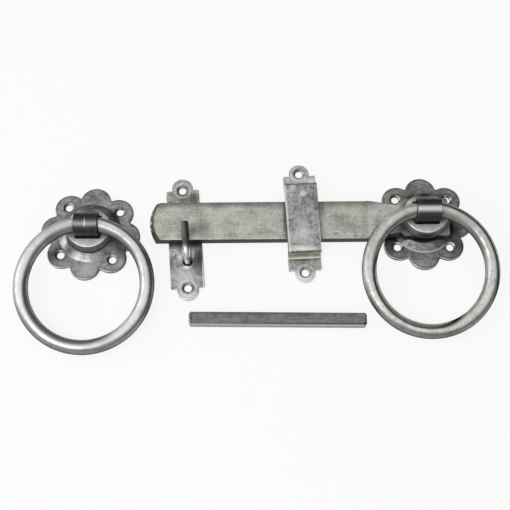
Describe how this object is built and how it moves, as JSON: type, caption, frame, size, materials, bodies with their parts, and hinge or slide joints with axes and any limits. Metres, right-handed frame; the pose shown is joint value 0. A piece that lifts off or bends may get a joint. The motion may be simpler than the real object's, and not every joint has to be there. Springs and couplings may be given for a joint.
{
  "type": "ring gate latch",
  "caption": "Ring handle gate latch set: petal roses with swinging ring handles, a cranked latch bar, a hooked catch plate, a guide bracket and a square spindle, laid out flat.",
  "frame": {"origin": "centre of the latch-side rose's screw circle, on the gate face behind the set", "axes": "+X along the latch bar away from the catch, +Y up the gate, +Z out of the gate face"},
  "size_m": [0.2942, 0.1277, 0.0296],
  "materials": {
    "rose_zinc": "satin",
    "handle_steel": "satin",
    "strap_steel": "satin",
    "ring_steel": "satin",
    "bar_steel": "matte",
    "plate_zinc": "satin",
    "spindle_steel": "matte"
  },
  "bodies": {
    "gate_fixings": {"left_rose": "rose_zinc", "right_rose": "rose_zinc", "catch_plate": "plate_zinc", "catch_hook": "plate_zinc", "guide_bracket": "plate_zinc", "spindle": "spindle_steel"},
    "latch": {"right_hub": "handle_steel", "right_ring_strap": "strap_steel", "right_back_washer": "handle_steel", "latch_bar": "bar_steel"},
    "latch_ring": {"right_ring": "ring_steel"},
    "pull_handle": {"left_hub": "handle_steel", "left_ring_strap": "strap_steel", "left_back_washer": "handle_steel"},
    "pull_ring": {"left_ring": "ring_steel"}
  },
  "joints": [
    {"name": "latch_lift", "type": "hinge", "parent": "gate_fixings", "child": "latch", "pos_m": [0, 0, 0], "axis": [0, 0, -1], "range_deg": [-3.5, 5.9]},
    {"name": "latch_ring_swing", "type": "hinge", "parent": "latch", "child": "latch_ring", "pos_m": [0.0008, 0.00001, 0.0228], "axis": [-1, -0.0099, 0], "range_deg": [0, 151]},
    {"name": "pull_handle_turn", "type": "hinge", "parent": "gate_fixings", "child": "pull_handle", "pos_m": [-0.2081, -0.007, 0], "axis": [0, 0, 1], "range_deg": [-3.5, 5.9]},
    {"name": "pull_ring_swing", "type": "hinge", "parent": "pull_handle", "child": "pull_ring", "pos_m": [-0.2085, -0.007, 0.0168], "axis": [-1, 0, 0], "range_deg": [0, 161]}
  ]
}
